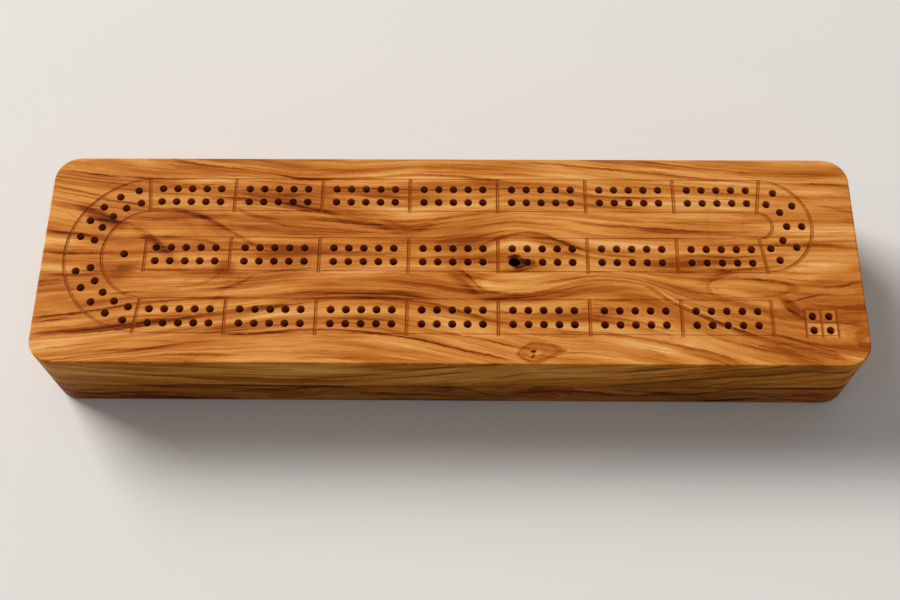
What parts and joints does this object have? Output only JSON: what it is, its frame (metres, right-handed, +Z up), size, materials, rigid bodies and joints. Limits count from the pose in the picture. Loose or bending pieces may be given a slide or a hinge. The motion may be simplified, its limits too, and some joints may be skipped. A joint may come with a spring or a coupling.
{
  "type": "cribbage box with drawer",
  "caption": "Wooden cribbage box: a continuous three-lane peg track on top and an end drawer for card packs and pegs.",
  "frame": {"origin": "centre of the case's underside, on the surface it stands on", "axes": "+X along the box towards the drawer's mouth, +Y towards the back, +Z up"},
  "size_m": [0.3875, 0.107, 0.0485],
  "materials": {
    "olive_top": "oiled, semi-matt",
    "olive_base": "oiled, semi-matt",
    "olive_drawer_front": "oiled, semi-matt",
    "drawer_wood": "waxed",
    "dowel_wood": "end grain, waxed",
    "brass": "turned and polished",
    "steel": "turned, satin",
    "magnet": "nickel plated"
  },
  "bodies": {
    "case": {"top_board": "olive_top", "base_board": "olive_base", "stop_screw": "brass", "case_magnet": "magnet"},
    "drawer": {"drawer_front": "olive_drawer_front", "drawer_side_rear": "drawer_wood", "drawer_side_near": "drawer_wood", "drawer_back": "drawer_wood", "drawer_bottom": "drawer_wood", "drawer_dowels": "dowel_wood", "drawer_magnet": "magnet", "drawer_knob": "brass", "knob_screw": "brass", "card_divider": "drawer_wood", "peg_block": "drawer_wood"},
    "peg_brass_1_body": {"peg_brass_1": "brass"},
    "peg_brass_2_body": {"peg_brass_2": "brass"},
    "peg_steel_1_body": {"peg_steel_1": "steel"},
    "peg_steel_2_body": {"peg_steel_2": "steel"}
  },
  "joints": [
    {"name": "drawer_slide", "type": "slide", "parent": "case", "child": "drawer", "axis": [1, 0, 0], "range_m": [0, 0.25]},
    {"name": "peg_brass_1_pull", "type": "slide", "parent": "drawer", "child": "peg_brass_1_body", "axis": [1, 0, 0], "range_m": [0, 0.012]},
    {"name": "peg_brass_2_pull", "type": "slide", "parent": "drawer", "child": "peg_brass_2_body", "axis": [1, 0, 0], "range_m": [0, 0.012]},
    {"name": "peg_steel_1_pull", "type": "slide", "parent": "drawer", "child": "peg_steel_1_body", "axis": [1, 0, 0], "range_m": [0, 0.012]},
    {"name": "peg_steel_2_pull", "type": "slide", "parent": "drawer", "child": "peg_steel_2_body", "axis": [1, 0, 0], "range_m": [0, 0.012]}
  ]
}
